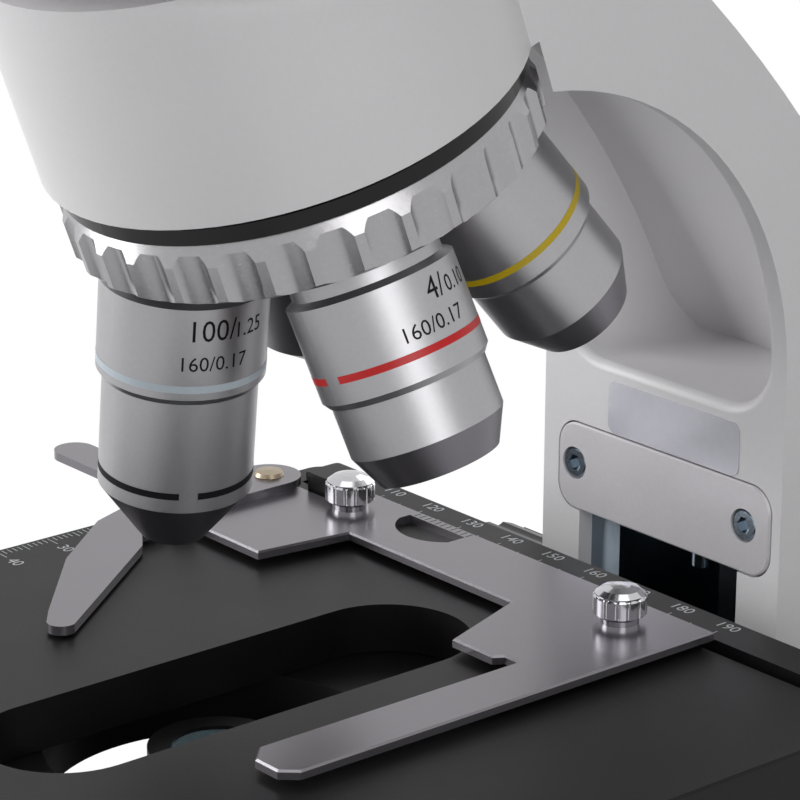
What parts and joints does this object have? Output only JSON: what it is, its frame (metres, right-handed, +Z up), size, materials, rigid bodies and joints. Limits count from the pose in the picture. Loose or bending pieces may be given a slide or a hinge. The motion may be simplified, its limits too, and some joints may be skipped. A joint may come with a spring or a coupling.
{
  "type": "binocular microscope",
  "caption": "Binocular compound microscope with a turning objective turret, geared mechanical stage and coaxial focus knobs, racked condenser and a rotating head with swinging eye tubes.",
  "frame": {"origin": "centre of the outline's bottom face, on the bench under the microscope", "axes": "+Z up; the user sits on the -Y side looking towards +Y; +X is the user's right hand"},
  "size_m": [0.196, 0.2866, 0.3714],
  "materials": {
    "black_plastic": "fine texture",
    "black_rubber": "soft matt",
    "black_satin": "fine satin black coating",
    "brass": "turned",
    "chrome": "polished",
    "lens_glass": "clear polished",
    "machined": "turned and milled",
    "plate_grey": "matt anodised",
    "satin_silver": "satin turned",
    "steel": "brushed",
    "white_enamel": "smooth satin enamel"
  },
  "bodies": {
    "stand": {"base_casting": "white_enamel", "base_bottom_plate": "black_satin", "rubber_feet": "black_rubber", "collector_housing": "black_plastic", "field_lens": "lens_glass", "lamp_module": "black_plastic", "power_inlet": "black_plastic", "switch_bezel": "black_plastic", "arm_casting": "white_enamel", "stop_plate": "machined", "stop_plate_screws": "steel", "focus_stop_screw": "steel", "focus_guide": "steel", "nosepiece_base": "black_satin", "turret_pivot_cap": "machined"},
    "rocker": {"power_rocker": "black_plastic"},
    "dial": {"brightness_dial": "black_plastic"},
    "tension": {"tension_ring": "black_plastic"},
    "coarse": {"coarse_shaft": "steel", "coarse_knob_right": "black_plastic", "coarse_knob_left": "black_plastic"},
    "fine": {"fine_knob_right": "black_plastic", "fine_knob_left": "black_plastic"},
    "turret": {"turret_ring": "machined", "objective_collars": "satin_silver", "objective_4x": "satin_silver", "objective_10x": "satin_silver", "objective_40x": "satin_silver", "objective_100x": "satin_silver", "front_lenses": "lens_glass"},
    "nose40": {"nose_40x": "satin_silver"},
    "nose100": {"nose_100x": "satin_silver"},
    "stage": {"focus_carriage": "steel", "stage_lower_plate": "black_satin"},
    "stage_top": {"stage_upper_plate": "black_satin", "x_drive_belt": "steel", "stage_drive_bracket": "black_satin"},
    "y_drive": {"stage_y_knob": "black_plastic"},
    "x_drive": {"stage_x_knob": "black_plastic"},
    "slide_carrier": {"x_carriage": "black_satin", "slide_holder_plate": "plate_grey", "holder_thumbscrews": "chrome", "lever_rivet": "brass"},
    "finger": {"finger_lever": "plate_grey"},
    "condenser": {"condenser_carrier": "black_satin", "condenser_body": "black_satin", "condenser_lens": "lens_glass"},
    "condenser_drive": {"condenser_knob": "black_plastic"},
    "iris": {"iris_lever": "black_satin"},
    "filter": {"filter_holder": "black_satin"},
    "head": {"head_housing": "white_enamel", "hub_cap": "black_plastic"},
    "head_lock": {"head_lock_screw": "steel"},
    "eye_right": {"prism_arm_right": "white_enamel", "eyepiece_right": "black_plastic", "eyecup_right": "black_rubber"},
    "eye_left": {"prism_arm_left": "white_enamel", "eyepiece_left": "black_plastic", "eyecup_left": "black_rubber"},
    "dioptre": {"dioptre_ring": "black_plastic"}
  },
  "joints": [
    {"name": "turret_spin", "type": "hinge", "parent": "stand", "child": "turret", "pos_m": [0, -0.01288, 0.2741], "axis": [0, 0.3494, -0.937], "continuous": true},
    {"name": "nose_40x_spring", "type": "slide", "parent": "turret", "child": "nose40", "axis": [0.3215, -0.4556, 0.8301], "range_m": [0, 0.003], "stiffness_N_per_m": 500, "springref_m": -0.004},
    {"name": "nose_100x_spring", "type": "slide", "parent": "turret", "child": "nose100", "axis": [0.1369, -0.0262, 0.9902], "range_m": [0, 0.003], "stiffness_N_per_m": 500, "springref_m": -0.004},
    {"name": "focus_slide", "type": "slide", "parent": "stand", "child": "stage", "axis": [0, 0, 1], "range_m": [-0.0065, 0.017]},
    {"name": "coarse_focus", "type": "hinge", "parent": "stand", "child": "coarse", "pos_m": [0, 0.09062, 0.1095], "axis": [1, 0, 0], "range_deg": [-163, 63]},
    {"name": "fine_focus", "type": "hinge", "parent": "coarse", "child": "fine", "pos_m": [0, 0.09062, 0.1095], "axis": [1, 0, 0], "continuous": true},
    {"name": "tension_adjust", "type": "hinge", "parent": "stand", "child": "tension", "pos_m": [0, 0.09062, 0.1095], "axis": [1, 0, 0], "range_deg": [0, 60]},
    {"name": "stage_y", "type": "slide", "parent": "stage", "child": "stage_top", "axis": [0, 1, 0], "range_m": [-0.027, 0.008]},
    {"name": "y_knob_turn", "type": "hinge", "parent": "stage_top", "child": "y_drive", "pos_m": [0.058, 0.04112, 0.113], "axis": [0, 0, 1], "range_deg": [-258, 77]},
    {"name": "stage_x", "type": "slide", "parent": "stage_top", "child": "slide_carrier", "axis": [1, 0, 0], "range_m": [-0.017, 0.052]},
    {"name": "x_knob_turn", "type": "hinge", "parent": "stage_top", "child": "x_drive", "pos_m": [0.058, 0.04112, 0.1], "axis": [0, 0, 1], "range_deg": [-568, 186]},
    {"name": "finger_swing", "type": "hinge", "parent": "slide_carrier", "child": "finger", "pos_m": [-0.0615, 0.04492, 0.1529], "axis": [0, 0, 1], "range_deg": [-22, 0], "stiffness_Nm_per_rad": 0.05, "springref_deg": 34.38},
    {"name": "condenser_slide", "type": "slide", "parent": "stage", "child": "condenser", "axis": [0, 0, 1], "range_m": [-0.014, 0.007]},
    {"name": "condenser_turn", "type": "hinge", "parent": "stage", "child": "condenser_drive", "pos_m": [-0.055, 0.03032, 0.108], "axis": [1, 0, 0], "range_deg": [-67, 134]},
    {"name": "iris_turn", "type": "hinge", "parent": "condenser", "child": "iris", "pos_m": [0, -0.01288, 0.11], "axis": [0, 0, 1], "range_deg": [-35, 35]},
    {"name": "filter_swing", "type": "hinge", "parent": "condenser", "child": "filter", "pos_m": [-0.022, -0.01288, 0.1014], "axis": [0, 0, 1], "range_deg": [-80, 0]},
    {"name": "rocker_tip", "type": "hinge", "parent": "stand", "child": "rocker", "pos_m": [0.044, 0.13612, 0.024], "axis": [1, 0, 0], "range_deg": [0, 12]},
    {"name": "brightness_turn", "type": "hinge", "parent": "stand", "child": "dial", "pos_m": [0.08979, -0.00288, 0.024], "axis": [0.9894, -0.1451, 0], "range_deg": [0, 270]},
    {"name": "head_turn", "type": "hinge", "parent": "stand", "child": "head", "pos_m": [0, -0.01288, 0.29], "axis": [0, 0, 1], "continuous": true},
    {"name": "head_lock_turn", "type": "hinge", "parent": "stand", "child": "head_lock", "pos_m": [0.03, -0.01288, 0.285], "axis": [1, 0, 0], "range_deg": [0, 360]},
    {"name": "eye_right_swing", "type": "hinge", "parent": "head", "child": "eye_right", "pos_m": [0, -0.03888, 0.322], "axis": [0, -0.866, 0.5], "range_deg": [-11.4, 31.4]},
    {"name": "eye_left_swing", "type": "hinge", "parent": "head", "child": "eye_left", "pos_m": [0, -0.03888, 0.322], "axis": [0, -0.866, 0.5], "range_deg": [-31.4, 11.4]},
    {"name": "dioptre_turn", "type": "hinge", "parent": "eye_left", "child": "dioptre", "pos_m": [-0.032, -0.04866, 0.30507], "axis": [0, -0.866, 0.5], "range_deg": [-60, 60]}
  ],
  "couplings": [
    {"joint": "coarse_focus", "follows": "focus_slide", "rad_per_m": -166.67},
    {"joint": "y_knob_turn", "follows": "stage_y", "rad_per_m": 166.67},
    {"joint": "x_knob_turn", "follows": "stage_x", "rad_per_m": -190.48},
    {"joint": "condenser_turn", "follows": "condenser_slide", "rad_per_m": -166.67},
    {"joint": "eye_left_swing", "follows": "eye_right_swing", "ratio": -1}
  ]
}
